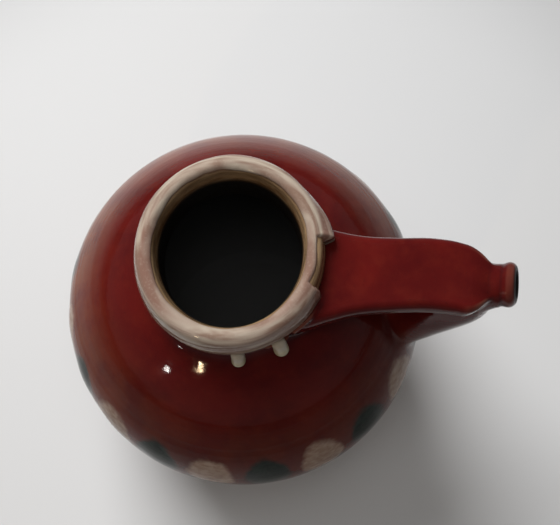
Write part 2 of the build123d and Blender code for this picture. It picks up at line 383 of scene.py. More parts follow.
def clip(points, triangles, measure):
    """Keeps the part of a mesh where measure(points) is negative, with new points along the cut."""
    g = measure(points)
    g = np.where(np.abs(g) < 1e-6, 1e-6, g)
    below = g < 0
    count = below[triangles].sum(1)
    kept = [triangles[count == 3]]
    mixed = triangles[(count == 1) | (count == 2)]
    alone = below[mixed] == (below[mixed].sum(1) == 1)[:, None]
    turn = alone.argmax(1)
    rows = np.arange(len(mixed))
    a, b, c = (mixed[rows, (turn + i) % 3] for i in range(3))
    keys, back = np.unique(np.sort(np.concatenate([np.stack([a, b], 1), np.stack([a, c], 1)]), axis=1),
                           axis=0, return_inverse=True)
    back = back.reshape(-1)
    t = np.clip(g[keys[:, 0]] / (g[keys[:, 0]] - g[keys[:, 1]]), 0.06, 0.94)
    new = points[keys[:, 0]] + t[:, None] * (points[keys[:, 1]] - points[keys[:, 0]])
    ab, ac = back[:len(mixed)] + len(points), back[len(mixed):] + len(points)
    tip = below[a]
    kept.append(np.stack([a, ab, ac], 1)[tip])
    kept.append(np.stack([ab, b, c], 1)[~tip])
    kept.append(np.stack([ab, c, ac], 1)[~tip])
    kept = np.concatenate(kept)
    used, kept = np.unique(kept, return_inverse=True)
    return np.concatenate([points, new])[used], kept.reshape(-1, 3)


def boundary_loops(triangles):
    """Closed loops of open edges, each in the direction of its faces."""
    edges = np.concatenate([triangles[:, [0, 1]], triangles[:, [1, 2]], triangles[:, [2, 0]]])
    present = set(map(tuple, edges.tolist()))
    following = {a: b for a, b in present if (b, a) not in present}
    loops = []
    while following:
        start, at = next(iter(following.items()))
        loop = [start]
        del following[start]
        while at != start:
            loop.append(at)
            at = following.pop(at)
        loops.append(loop)
    return loops


def bridge(points, one, two):
    """Triangles between two loops that run opposite ways round the same hole."""
    two = two[::-1]
    start = int(np.argmin(np.linalg.norm(points[two] - points[one[0]], axis=1)))
    two = two[start:] + two[:start]
    lengths = []
    for loop in (one, two):
        run = run_length(points[loop + loop[:1]])
        lengths.append(run / run[-1])
    faces, i, j = [], 0, 0
    while i < len(one) or j < len(two):
        a, b = one[i % len(one)], two[j % len(two)]
        if j == len(two) or (i < len(one) and lengths[0][i + 1] <= lengths[1][j + 1]):
            faces.append((one[(i + 1) % len(one)], a, b))
            i += 1
        else:
            faces.append((a, b, two[(j + 1) % len(two)]))
            j += 1
    return faces


def close(points, triangles):
    """Closes a clipped mesh: loops round the same hole are joined by a band, a loop alone gets a fan."""
    loops = boundary_loops(triangles)
    centres = [points[loop].mean(0) for loop in loops]
    extra, caps, left = [], [], list(range(len(loops)))
    while left:
        i = left.pop(0)
        near = [j for j in left if np.linalg.norm(centres[i] - centres[j]) < SAME_HOLE]
        if near:
            j = min(near, key=lambda n: np.linalg.norm(centres[i] - centres[n]))
            left.remove(j)
            caps += bridge(points, loops[i], loops[j])
        else:
            hub = len(points) + len(extra)
            extra.append(centres[i])
            loop = loops[i]
            caps += [(loop[(n + 1) % len(loop)], loop[n], hub) for n in range(len(loop))]
    if extra:
        points = np.concatenate([points, np.array(extra)])
    return points, np.array(caps, int).reshape(-1, 3)


def make_object(name, points, faces, normals=None, flat_from=None, fields=None):
    """Smooth mesh object in metres, with normals and fields per point. Faces from flat_from on are flat."""
    mesh = bpy.data.meshes.new(name)
    mesh.from_pydata((points * MM).tolist(), [], [tuple(f) for f in faces])
    mesh.validate()
    mesh.polygons.foreach_set("use_smooth", np.full(len(mesh.polygons), True))
    for label, values in (fields or {}).items():
        layer = mesh.attributes.new(label, "FLOAT", "POINT")
        layer.data.foreach_set("value", np.asarray(values, np.float32))
    if normals is not None:
        corner_point = np.empty(len(mesh.loops), int)
        mesh.loops.foreach_get("vertex_index", corner_point)
        split = normals[corner_point]
        if flat_from is not None:
            flat = np.empty(len(mesh.polygons) * 3, np.float32)
            mesh.polygons.foreach_get("normal", flat)
            flat = flat.reshape(-1, 3)
            owner = np.repeat(np.arange(len(mesh.polygons)), 3)
            cap = owner >= flat_from
            split[cap] = flat[owner[cap]]
        mesh.normals_split_custom_set(split.tolist())
    mesh.update()
    piece = bpy.data.objects.new(name, mesh)
    bpy.context.scene.collection.objects.link(piece)
    return piece


def curvature(points):
    """Sum of the two curvatures: high on edges, negative in hollows."""
    reach = 0.9
    total = -6 * field(*points.T)
    for axis in range(3):
        shift = np.zeros(3)
        shift[axis] = reach
        total += field(*(points + shift).T) + field(*(points - shift).T)
    return total / reach**2


def fired_piece(name, low, high, step, *cuts):
    """One piece of the fired body: the field's surface in a box, cut by the given measures and closed."""
    points, triangles = surface_nets(low, high, step)
    points = settle(points)
    for cut in cuts:
        points, triangles = clip(points, triangles, cut)
    points = settle(points, 2)
    closed, caps = close(points, triangles)
    normals = unit(gradient(closed))
    p = parts_of(*closed.T)
    hollow = np.minimum(p["room"], p["channel"])
    fields = {"edge": np.clip((curvature(closed) - 0.36) / 0.9, -1, 1), "inside": ramp(-hollow, -2.2, -0.9)}
    faces = np.concatenate([triangles, caps])
    return make_object(name, closed, faces, normals=normals, flat_from=len(triangles), fields=fields)


def strap_measure(points):
    """Negative where the strap is nearest, clear of the nozzle."""
    p = parts_of(*points.T)
    others = np.minimum(p["body"], p["tube"])
    return np.maximum(p["strap"] - others, p["along"] + STRAP_OFF_NOZZLE)


def spout_measure(points):
    """Negative on the spout's side of its joint with the shell, outside and in the channel."""
    p = parts_of(*points.T)
    inner = np.minimum(p["room"], p["channel"]) < np.abs(np.minimum(p["body"], p["tube"]))
    return np.where(inner & (p["strap"] > 0), p["channel"] - p["room"], p["tube"] - p["body"])


def negative(measure):
    return lambda points: -measure(points)


def above_equator(points):
    """Negative above the widest line. The shell laps the bowl by a hair, so that no gap shows."""
    return EQUATOR_Z - LAP - points[:, 2]


def behind_nozzle(points):
    """Negative on the spout's side of its joint with the nozzle."""
    return parts_of(*points.T)["along"] - NOZZLE_JOINT


# ---------------------------------------------------------------- turned pieces
def grid_faces(rows, columns, wrap_rows=True):
    """Quads of a grid of points whose rows close on themselves, the last row meeting the first if wrapped."""
    i, j = np.meshgrid(np.arange(rows if wrap_rows else rows - 1), np.arange(columns), indexing="ij")
    here, ahead, turned = i * columns, (i + 1) % rows * columns, (j + 1) % columns
    return np.stack([here + j, here + turned, ahead + turned, ahead + j], -1).reshape(-1, 4)


def pole_faces(rows, columns):
    """Fans from two points after the grid's own to its first row and its last row."""
    first, last, end = rows * columns, rows * columns + 1, (rows - 1) * columns
    return ([(first, (n + 1) % columns, n) for n in range(columns)]
            + [(last, end + n, end + (n + 1) % columns) for n in range(columns)])


def lathe(profile, steps=288, oval=(1.0, 1.0), closed=True):
    """Body turned about Z from (r, z) points: a ring, or not closed, with both ends on the axis as poles."""
    profile = np.asarray(profile, float)
    turn = np.linspace(0, 2 * math.pi, steps, endpoint=False)
    body = profile if closed else profile[1:-1]
    ring = np.stack([
        body[:, None, 0] * np.cos(turn) * oval[0],
        body[:, None, 0] * np.sin(turn) * oval[1],
        np.repeat(body[:, 1], steps).reshape(len(body), steps),
    ], -1)
    faces = grid_faces(len(body), steps, wrap_rows=closed).tolist()
    points = ring.reshape(-1, 3)
    if not closed:
        faces += pole_faces(len(body), steps)
        points = np.concatenate([points, [(0, 0, profile[0, 1]), (0, 0, profile[-1, 1])]])
    return points, faces


def arc(centre, radius, start, end, count):
    """Points on an arc between two angles in degrees."""
    turn = np.radians(np.linspace(start, end, count))
    return [(centre[0] + radius * math.cos(t), centre[1] + radius * math.sin(t)) for t in turn]


def dense(corners, gap=0.5):
    """Points along a run of straight lines, close enough together to be lit smoothly."""
    out = []
    for (ra, za), (rb, zb) in zip(corners, corners[1:]):
        count = max(1, int(math.hypot(rb - ra, zb - za) / gap))
        out += [(ra + (rb - ra) * n / count, za + (zb - za) * n / count) for n in range(count)]
    return out + [corners[-1]]


def smooth_profile(profile, rounds):
    """Softens a closed profile a little."""
    p = np.asarray(profile, float)
    for _ in range(rounds):
        p = 0.5 * p + 0.25 * (np.roll(p, 1, 0) + np.roll(p, -1, 0))
    return p


def outer_normals(points, faces):
    """Point normals of a quad or triangle mesh, weighted by area."""
    normals = np.zeros_like(points)
    for n in (3, 4):
        sized = np.array([f for f in faces if len(f) == n])
        if len(sized):
            a, b = points[sized[:, 1]] - points[sized[:, 0]], points[sized[:, n - 1]] - points[sized[:, 0]]
            cross = np.cross(a, b)
            for i in range(n):
                np.add.at(normals, sized[:, i], cross)
    return unit(normals)


def lower_bowl():
    """Lower half of the belly, with its floor and a flat rim at the widest line."""
    bowl = (BELLY_R - BOWL_ARC_R, EQUATOR_Z)
    inner_r = BOWL_ARC_R - WALL
    low = math.degrees(math.asin((EQUATOR_Z - FLOOR_TOP_Z - 1.2) / inner_r))
    base = math.degrees(math.asin((EQUATOR_Z - FLOOR_UNDERSIDE_Z) / BOWL_ARC_R))
    inside = arc(bowl, inner_r, -low, 0, 70)
    outside = arc(bowl, BOWL_ARC_R, 0, -base, 90)
    floor = dense([(0.0, FLOOR_TOP_Z), (inside[0][0] - 3.5, FLOOR_TOP_Z + 0.05)], 1.2)
    under = dense([(outside[-1][0] - 0.6, FLOOR_UNDERSIDE_Z), (0.0, FLOOR_UNDERSIDE_Z + 0.1)], 1.2)
    profile = floor + inside + dense([inside[-1], outside[0]], 1.0)[1:-1] + outside + under
    points, faces = lathe(profile, steps=360, closed=False)
    r = np.hypot(points[:, 0], points[:, 1])
    gap = np.hypot(r - bowl[0], points[:, 2] - bowl[1]) - BOWL_ARC_R
    inside_mark = ramp(-gap, 1.5, 3.5) * (points[:, 2] > FLOOR_TOP_Z - 1)
    flat = np.abs(gap + WALL / 2) < WALL / 2 - 0.05
    normals = outer_normals(points, faces)
    outward = (r - bowl[0]) / np.maximum(r, 1e-6)
    radial = unit(np.stack([outward * points[:, 0], outward * points[:, 1], points[:, 2] - bowl[1]], 1))
    on_wall = (points[:, 2] > EQUATOR_Z - 0.01) & ~flat
    normals[on_wall] = radial[on_wall] * np.where(gap[on_wall] > -WALL / 2, 1, -1)[:, None]
    return make_object("lower_bowl_glazed", points, faces, normals=normals,
                       fields={"edge": np.zeros(len(points)), "inside": inside_mark})


def foot_ring():
    """Turned ring with rounded lower edges, a little wider at its top."""
    outer, inner, top, rounding = FOOT_OUTER_R, FOOT_INNER_R, FOOT_TOP_Z, FOOT_ROUNDING
    profile = dense([(inner, top), (inner, rounding)], 0.4)[:-1]
    profile += arc((inner + rounding, rounding), rounding, 180, 270, 9)
    profile += dense([(inner + rounding, 0.0), (outer - rounding, 0.0)], 0.4)[1:-1]
    profile += arc((outer - rounding, rounding), rounding, 270, 360, 9)
    profile += dense([(outer, rounding), (outer + FOOT_SPREAD, top)], 0.4)[1:]
    profile += dense([(outer + FOOT_SPREAD, top), (inner, top)], 0.8)[1:-1]
    points, faces = lathe(profile)
    return make_object("foot_ring_trimmed", points, faces)


def collar_profile():
    """Closed (r, z) section of the clay collar: outer side, rolled crest, sloping inner edge, throat."""
    side = arc(COLLAR_SIDE, COLLAR_SIDE_R, -31.5, 22.0, 26)
    crest = arc(COLLAR_CREST, COLLAR_CREST_R, 20.0, 158.0, 26)
    throat_low, spigot_low = (COLLAR_THROAT_R, COLLAR_LOW_Z), (COLLAR_SPIGOT_R, COLLAR_LOW_Z)
    inner = dense([(21.9, 129.8), (20.75, 124.6), throat_low], 0.4)
    base = dense([throat_low, spigot_low, (24.6, 119.0), side[0]], 0.4)[1:-1]
    return smooth_profile(side + crest + inner + base, 5)


def collar():
    """Clay collar, a little oval, with its throat marked as inside."""
    points, faces = lathe(collar_profile(), steps=360, oval=(OVAL_X, OVAL_Y))
    faces = [f[::-1] for f in faces]
    r = np.hypot(points[:, 0] / OVAL_X, points[:, 1] / OVAL_Y)
    inside = ramp(127.9 - points[:, 2], 0.0, 2.8) * (r < 23.0)
    return make_object("collar_ring", points, faces, fields={"edge": np.zeros(len(points)), "inside": inside})


def wave(angle, *terms):
    """Smooth uneven value round the pot: terms are (waves, height, phase)."""
    return sum(height * np.sin(waves * angle + phase) for waves, height, phase in terms)


def pale_coat():
    """Thick pale glaze over the collar. On the outer side it stops in rounded flaps at the strap's root."""
    section = collar_profile()
    top = int(np.argmax(section[:, 1]))
    outline = run_length(section)
    low = int(np.argmin(np.abs(section[:top, 1] - COAT_LOW_Z)))
    high = top + int(np.argmin(section[top:, 1] > COAT_INNER_Z))
    fine = np.linspace(outline[low], outline[high], 64)
    base = np.stack([np.interp(fine, outline, section[:, i]) for i in (0, 1)], 1)
    tangent = np.gradient(base, axis=0)
    normal = unit(np.stack([tangent[:, 1], -tangent[:, 0]], 1))
    s = (fine - fine[0])[None, :]
    length = fine[-1] - fine[0]
    steps = 540
    turn = np.linspace(0, 2 * math.pi, steps, endpoint=False)[:, None]
    degrees = (np.degrees(turn) + 180) % 360 - 180
    low_line = 0.55 + wave(turn, (3, 0.35, 0.4), (7, 0.22, 1.9), (17, 0.12, 0.3))
    high_line = length - 0.1 + wave(turn, (4, 0.2, 2.2), (9, 0.12, 0.9), (23, 0.05, 1.1))
    from_right = degrees - FLAP_TO + 0.5 * np.sin(s * 1.3)
    from_left = FLAP_FROM - degrees + 0.5 * np.cos(s * 1.1)
    flap = np.minimum(from_right, from_left) * 0.5
    crest_at = outline[top] - outline[low]
    over_root = crest_at - 0.9 - s + 0.25 * np.sin(degrees / 4)
    missing = np.minimum(flap, over_root)
    inset = np.minimum(np.minimum(s - low_line, 0.4 * (high_line - s)), np.maximum(-missing, -4))
    shoulder = np.clip(inset / 0.9, -1, 1)
    rise = np.where(shoulder > 0, np.sqrt(np.maximum(1 - (1 - shoulder) ** 2, 0)), shoulder)
    thick = COAT_THICKNESS + wave(turn, (2, 0.06, 1.0), (5, 0.05, 0.2), (11, 0.03, 2.0))
    thick = thick + 0.05 * np.sin(s * 2.1 + 3 * np.sin(turn * 2))
    roll = 0.16 * np.exp(-(((np.maximum(inset, 0) - 0.9) / 0.7) ** 2))
    swell = 2.3 * np.exp(-(((degrees - 13) / 21) ** 2)) + 0.8 * np.exp(-(((degrees + 26) / 20) ** 2))
    swell = swell * (1 - ramp(s, crest_at - 5.0, crest_at - 1.2))
    height = np.where(rise > 0, rise * (thick + roll + swell), rise * 0.35)
    upper = base[None] + normal[None] * height[..., None]
    under = np.broadcast_to(base[None] - normal[None] * COAT_UNDERSIDE, upper.shape)
    loop = np.concatenate([upper, under[:, ::-1]], 1)
    rows = loop.shape[1]
    r, z = loop[..., 0], loop[..., 1]
    points = np.stack([r * np.cos(turn) * OVAL_X, r * np.sin(turn) * OVAL_Y, z], -1)
    faces = grid_faces(steps, rows)[:, [0, 3, 2, 1]]
    thin = np.concatenate([1 - ramp(height, 0.12, 0.5), np.ones_like(height)], 1)
    return make_object("collar_pale_coat", points.reshape(-1, 3), faces.tolist(),
                       fields={"edge": thin.reshape(-1)})


def bead(azimuth, size, drop):
    """Run of pale glaze that hangs below the collar and ends in a round drop."""
    along = np.linspace(0, 1, 26)
    radius = BEAD_R + 0.12 * ramp(along, 0.3, 0.8)
    radius = radius * np.sqrt(np.clip(1 - np.clip((along - 0.72) / 0.28, 0, 1) ** 2, 0, 1)) * size
    radius = radius * np.sqrt(np.clip(1 - np.clip((0.28 - along) / 0.28, 0, 1) ** 2, 0, 1))
    top, low = np.array(BEAD_TOP), np.array((BEAD_LOW[0] + 0.4 * drop, BEAD_LOW[1] - drop))
    line = top + along[:, None] * (low - top)
    turn = np.linspace(0, 2 * math.pi, 28, endpoint=False)
    direction = (low - top) / np.linalg.norm(low - top)
    side = np.array((-direction[1], direction[0]))
    out_r = line[:, None, 0] + radius[:, None] * np.cos(turn) * side[0]
    up = line[:, None, 1] + radius[:, None] * np.cos(turn) * side[1]
    across = radius[:, None] * np.sin(turn)
    cos_a, sin_a = math.cos(math.radians(azimuth)), math.sin(math.radians(azimuth))
    points = np.stack([out_r * cos_a - across * sin_a, out_r * sin_a + across * cos_a, up], -1)
    inner = points[1:-1].reshape(-1, 3)
    rows, steps = len(along) - 2, len(turn)
    faces = grid_faces(rows, steps, wrap_rows=False).tolist() + pole_faces(rows, steps)
    return np.concatenate([inner, points[0, :1], points[-1, :1]]), faces


def joined(name, bodies):
    """One object made of several bodies that don't touch."""
    points, faces, start = [], [], 0
    for body_points, body_faces in bodies:
        points.append(body_points)
        faces += [tuple(i + start for i in f) for f in body_faces]
        start += len(body_points)
    return make_object(name, np.concatenate(points), faces)


def belly_point(azimuth, arc_length, out):
    """Point on the belly at an azimuth and a length along the section above the widest line."""
    radius = np.where(arc_length >= 0, SHOULDER_ARC_R, BOWL_ARC_R)
    angle = arc_length / radius
    r = BELLY_R - radius + (radius + out) * np.cos(angle)
    z = EQUATOR_Z + (radius + out) * np.sin(angle)
    return np.stack([r * np.cos(azimuth), r * np.sin(azimuth), z], -1)


def dab(azimuth, seed):
    """Lens of glaze on the belly, thin at its rim."""
    rings, steps = 14, 72
    centre = SHOULDER_ARC_R * math.asin((DAB_CENTRE_Z - EQUATOR_Z) / SHOULDER_ARC_R)
    turn = np.linspace(0, 2 * math.pi, steps, endpoint=False)
    uneven = 1 + wave(turn, (2, 0.03, seed), (3, 0.035, 2.1 * seed), (5, 0.015, 3.7 * seed))
    reach = np.linspace(0, 1, rings + 1)[1:, None]
    across = reach * np.cos(turn) * DAB_HALF_WIDTH * uneven
    up = reach * np.sin(turn) * DAB_HALF_HEIGHT * uneven
    middle = math.radians(azimuth)
    rise = DAB_RISE * (1 - reach**2) ** 1.5 - DAB_SINK
    fall = -DAB_SINK - DAB_DEPTH * (1 - reach)
    top = belly_point(middle + across / BELLY_R, centre + up, rise).reshape(-1, 3)
    under = belly_point(middle + across / BELLY_R, centre + up, fall)[:-1].reshape(-1, 3)
    hub_heights = np.array([DAB_RISE - DAB_SINK, -DAB_SINK - DAB_DEPTH])
    hubs = belly_point(np.array([middle] * 2), np.array([centre] * 2), hub_heights)
    points = np.concatenate([top, under, hubs])
    faces = []
    for base, count, up_side in ((0, rings, True), (rings * steps, rings - 1, False)):
        hub = len(points) - (2 if up_side else 1)
        for n in range(steps):
            m = (n + 1) % steps
            fan = (hub, base + n, base + m)
            faces.append(fan if up_side else fan[::-1])
            for k in range(count - 1):
                here, out = base + k * steps, base + (k + 1) * steps
                quad = (here + n, out + n, out + m, here + m)
                faces.append(quad if up_side else quad[::-1])
            if not up_side:
                last, rim = base + (count - 1) * steps, (rings - 1) * steps
                faces.append((last + m, rim + m, rim + n, last + n))
    return points, faces


# ---------------------------------------------------------------- build the pieces
# Mesh steps of the shell, and of the finer pieces.
step = 0.85
fine = 0.5
shell = fired_piece("upper_shell_glazed", (-64.4, -64.3, 52.6), (64.6, 64.7, 121.0), step,
                    above_equator, negative(strap_measure), negative(spout_measure))
spout = fired_piece("spout_glazed", (40.1, -20.2, 58.0), (80.0, 20.3, 133.5), fine,
                    spout_measure, negative(strap_measure), behind_nozzle)
strap = fired_piece("strap_glazed", (12.1, -20.2, 104.0), (76.0, 20.3, 133.5), fine, strap_measure)
nozzle = fired_piece("nozzle_glazed", (70.0, -8.2, 118.0), (81.0, 8.3, 135.0), fine * 0.55,
                     negative(behind_nozzle))

bowl = lower_bowl()
foot = foot_ring()
collar_ring = collar()
coat = pale_coat()
beads = joined("glaze_beads", [bead(*each) for each in BEADS])
pale_dabs = joined("pale_dabs", [
    dab(PALE_DAB_AZIMUTH + DAB_STEP * n, n + 1.0) for n in range(DABS_OF_A_COLOUR)])
dark_dabs = joined("dark_dabs", [
    dab(PALE_DAB_AZIMUTH - DAB_STEP * (n + 0.5), n + 20.0) for n in range(DABS_OF_A_COLOUR)])


# ---------------------------------------------------------------- materials
class Nodes:
    """Short way to write a node tree: every call adds one node and returns its output."""

    def __init__(self, name):
        self.material = bpy.data.materials.new(name)
        self.material.use_nodes = True
        self.tree = self.material.node_tree
        self.shader = self.tree.nodes["Principled BSDF"]

    def add(self, kind, **settings):
        node = self.tree.nodes.new(kind)
        for key, value in settings.items():
            setattr(node, key, value)
        return node

    def put(self, socket, value):
        if isinstance(value, bpy.types.NodeSocket):
            self.tree.links.new(value, socket)
        elif isinstance(value, tuple) and len(value) == 3 and socket.type == "RGBA":
            socket.default_value = (*value, 1.0)
        else:
            socket.default_value = value

    def math(self, operation, *values):
        node = self.add("ShaderNodeMath", operation=operation)
        for socket, value in zip(node.inputs, values):
            self.put(socket, value)
        return node.outputs[0]

    def plus(self, a, b):
        return self.math("ADD", a, b)

    def times(self, a, b):
        return self.math("MULTIPLY", a, b)

    def ramp(self, value, low, high, to_low=0.0, to_high=1.0):
        node = self.add("ShaderNodeMapRange", interpolation_type="SMOOTHSTEP")
        for socket, v in zip(node.inputs, (value, low, high, to_low, to_high)):
            self.put(socket, v)
        return node.outputs[0]

    def mix(self, factor, a, b):
        node = self.add("ShaderNodeMix", data_type="RGBA")
        self.put(node.inputs["Factor"], factor)
        self.put(node.inputs[6], a)
        self.put(node.inputs[7], b)
        return node.outputs[2]

    def place(self):
        """Position in millimetres, and its x, y, z."""
        coords = self.add("ShaderNodeTexCoord").outputs["Object"]
        scale = self.add("ShaderNodeVectorMath", operation="SCALE")
        self.tree.links.new(coords, scale.inputs[0])
        scale.inputs["Scale"].default_value = 1000.0
        apart = self.add("ShaderNodeSeparateXYZ")
        self.tree.links.new(scale.outputs[0], apart.inputs[0])
        return scale.outputs[0], *apart.outputs

    def vector(self, x, y, z):
        node = self.add("ShaderNodeCombineXYZ")
        for socket, value in zip(node.inputs, (x, y, z)):
            self.put(socket, value)
        return node.outputs[0]

    def noise(self, where, scale, detail=3.0, roughness=0.5, distortion=0.0):
        node = self.add("ShaderNodeTexNoise")
        self.tree.links.new(where, node.inputs["Vector"])
        settings = {"Scale": scale, "Detail": detail, "Roughness": roughness, "Distortion": distortion}
        for key, value in settings.items():
            node.inputs[key].default_value = value
        return node.outputs["Fac"]

    def attribute(self, name):
        return self.add("ShaderNodeAttribute", attribute_name=name).outputs["Fac"]

    def bump(self, height, distance, strength):
        node = self.add("ShaderNodeBump")
        self.put(node.inputs["Height"], height)
        node.inputs["Distance"].default_value = distance
        node.inputs["Strength"].default_value = strength
        return node.outputs[0]

    def finish(self, colour, roughness, normal, **fixed):
        """Links the main sockets, sets the fixed values on their own sockets, and returns the material."""
        self.put(self.shader.inputs["Base Color"], colour)
        self.put(self.shader.inputs["Roughness"], roughness)
        if normal is not None:
            self.put(self.shader.inputs["Normal"], normal)
        for key, value in fixed.items():
            self.shader.inputs[key.replace("_", " ")].default_value = value
        return self.material


def around(n, x, y):
    """Azimuth in radians and radius in mm."""
    azimuth = n.math("ARCTAN2", y, x)
    radius = n.math("SQRT", n.plus(n.times(x, x), n.times(y, y)))
    return azimuth, radius


def along_ring(n, x, y, z, run, cross):
    """Place for streaks that run round the collar: stretched along it, close together across it."""
    _, radius = around(n, x, y)
    turned = [n.times(n.math("DIVIDE", v, radius), run) for v in (x, y)]
    return n.vector(*turned, n.times(n.math("SUBTRACT", z, radius), cross))


def dab_mask(n, azimuth, z, first, wobble):
    """1 in the middle of the dabs of a colour, fading to 0 past their rims."""
    period = math.radians(DAB_STEP)
    turned = n.math("WRAP", n.math("SUBTRACT", azimuth, math.radians(first)), period / 2, -period / 2)
    across = n.times(turned, BELLY_R * 0.985 / DAB_HALF_WIDTH)
    up = n.math("DIVIDE", n.math("SUBTRACT", z, DAB_CENTRE_Z), DAB_HALF_HEIGHT * 0.97)
    reach = n.math("SQRT", n.plus(n.times(across, across), n.times(up, up)))
    reach = n.plus(reach, n.times(n.math("SUBTRACT", wobble, 0.5), 0.45))
    return n.ramp(reach, 0.80, 1.12, 1.0, 0.0)


def red_glaze():
    """Oxblood glaze that breaks pale on edges and turns rusty low down. The rust is stronger towards the back
    as painted light, the inside is painted shade up the throat, and the dabs are painted in.
    """
    n = Nodes("red_glaze")
    where, x, y, z = n.place()
    azimuth, radius = around(n, x, y)
    clouds = n.noise(where, 0.035, 4.0, 0.55, 0.4)
    mottle = n.noise(where, 0.22, 4.0, 0.6)
    streak = n.noise(n.vector(x, y, n.times(z, 0.12)), 0.11, 3.0, 0.55)
    grain = n.noise(where, 1.6, 2.0, 0.6)
    colour = n.mix(n.ramp(clouds, 0.32, 0.68), (0.058, 0.0042, 0.0042), (0.094, 0.0064, 0.0052))
    colour = n.mix(n.ramp(mottle, 0.42, 0.75, 0.0, 0.30), colour, (0.115, 0.012, 0.006))
    low = n.ramp(z, 110.0, 84.0)
    # Painted light: the rust grows stronger towards the back-left, the side the soft back light comes from,
    # so that side reads lighter.
    towards_light = n.plus(n.times(x, -0.6), n.times(y, 0.8))
    side = n.ramp(towards_light, -40.0, 55.0, 0.22, 1.0)
    rust_and_lit_side = n.times(n.times(low, side), n.ramp(streak, 0.3, 0.62, 0.35, 1.0))
    rust_and_lit_side = n.times(rust_and_lit_side, n.ramp(z, 48.0, 78.0, 0.45, 1.0))
    colour = n.mix(n.times(rust_and_lit_side, 0.85), colour, (0.20, 0.052, 0.013))
    colour = n.mix(n.ramp(grain, 0.60, 0.78, 0.0, 0.35), colour, (0.02, 0.004, 0.004))
    edge = n.attribute("edge")
    colour = n.mix(n.ramp(edge, 0.03, 0.8, 0.0, 0.42), colour, (0.26, 0.10, 0.065))
    colour = n.mix(n.ramp(edge, -0.35, -0.9, 0.0, 0.4), colour, (0.022, 0.004, 0.005))
    rim = n.noise(where, 0.16, 3.0, 0.6)
    fine = n.noise(where, 0.4, 2.0, 0.5)
    pale = dab_mask(n, azimuth, z, PALE_DAB_AZIMUTH, rim)
    dark = dab_mask(n, azimuth, z, PALE_DAB_AZIMUTH - DAB_STEP / 2, rim)
    in_band = n.math("LESS_THAN", n.math("ABSOLUTE", n.math("SUBTRACT", z, DAB_CENTRE_Z)), 20.0)
    pale = n.times(pale, in_band)
    dark = n.times(dark, in_band)
    pale_colour = n.mix(n.ramp(fine, 0.3, 0.75), (0.26, 0.16, 0.11), (0.36, 0.26, 0.20))
    dark_colour = n.mix(n.ramp(fine, 0.3, 0.75), (0.006, 0.011, 0.008), (0.014, 0.023, 0.017))
    colour = n.mix(pale, colour, pale_colour)
    colour = n.mix(dark, colour, dark_colour)
    inside = n.attribute("inside")
    # Painted shade: inside, the walls turn nearly black up the throat, where the pot is dark; deeper in they
    # stay grey.
    room_grey_and_throat_shade = n.mix(n.ramp(z, 98.0, 116.0), (0.10, 0.098, 0.096), (0.012, 0.010, 0.009))
    colour = n.mix(inside, colour, room_grey_and_throat_shade)
    throwing = n.noise(n.vector(n.times(radius, 0.25), 0.0, z), 0.42, 2.0, 0.5)
    peel = n.noise(where, 0.55, 2.0, 0.5)
    height = n.plus(n.times(throwing, 0.6), n.times(peel, 0.25))
    normal = n.bump(height, 0.00022, 0.5)
    rough = n.plus(n.ramp(mottle, 0.3, 0.8, 0.055, 0.12), n.times(inside, 0.4))
    n.put(n.shader.inputs["Specular IOR Level"], n.ramp(z, 86.0, 108.0, 0.03, 0.36))
    return n.finish(colour, rough, normal, IOR=1.42)


def brown_glaze():
    """Streaky brown glaze on the clay collar, with painted shade making it nearly black down the throat."""
    n = Nodes("brown_glaze")
    where, x, y, z = n.place()
    ring = along_ring(n, x, y, z, 5.0, 1.3)
    streak = n.noise(ring, 0.55, 4.0, 0.6)
    colour = n.mix(n.ramp(streak, 0.3, 0.7), (0.15, 0.072, 0.028), (0.33, 0.205, 0.105))
    crest = n.ramp(z, 126.4, 129.4)
    colour = n.mix(n.times(crest, 0.35), colour, (0.24, 0.18, 0.11))
    inside = n.attribute("inside")
    # Painted shade: down the throat the glaze is coloured nearly black.
    colour = n.mix(inside, colour, (0.0065, 0.0052, 0.0045))
    peel = n.noise(where, 0.5, 2.0, 0.5)
    normal = n.bump(n.plus(peel, n.times(streak, 0.5)), 0.00025, 0.5)
    rough = n.plus(n.ramp(streak, 0.3, 0.8, 0.08, 0.16), n.times(inside, 0.4))
    return n.finish(colour, rough, normal, IOR=1.42)


def pale_glaze():
    """Thick cream glaze with pinkish streaks round the collar, brown where it runs thin."""
    n = Nodes("pale_glaze")
    where, x, y, z = n.place()
    ring = along_ring(n, x, y, z, 6.0, 1.4)
    streak = n.noise(ring, 0.26, 2.0, 0.5, 0.5)
    broad = n.noise(ring, 0.12, 2.0, 0.5)
    fine = n.noise(where, 1.4, 3.0, 0.6)
    colour = n.mix(n.ramp(streak, 0.36, 0.66), (0.21, 0.135, 0.10), (0.41, 0.345, 0.275))
    colour = n.mix(n.ramp(broad, 0.42, 0.66, 0.0, 0.75), colour, (0.20, 0.105, 0.08))
    colour = n.mix(n.ramp(fine, 0.5, 0.8, 0.0, 0.3), colour, (0.40, 0.34, 0.28))
    thin = n.attribute("edge")
    colour = n.mix(n.ramp(thin, 0.25, 1.0, 0.0, 0.8), colour, (0.20, 0.105, 0.065))
    peel = n.noise(where, 0.45, 2.0, 0.5)
    height = n.plus(n.times(peel, 0.8), n.times(streak, 0.3))
    normal = n.bump(height, 0.0003, 0.5)
    rough = n.ramp(streak, 0.3, 0.8, 0.07, 0.15)
    return n.finish(colour, rough, normal, IOR=1.42)


def bead_glaze():
    """Cream glaze of the two beads."""
    n = Nodes("bead_glaze")
    where, _, _, z = n.place()
    cloud = n.noise(where, 0.5, 3.0, 0.5)
    colour = n.mix(n.ramp(cloud, 0.3, 0.7), (0.40, 0.34, 0.21), (0.48, 0.43, 0.29))
    colour = n.mix(n.ramp(z, 118.6, 120.4), colour, (0.42, 0.36, 0.28))
    normal = n.bump(n.noise(where, 0.9, 2.0, 0.5), 0.0001, 0.4)
    return n.finish(colour, n.ramp(cloud, 0.3, 0.8, 0.08, 0.15), normal, IOR=1.42)


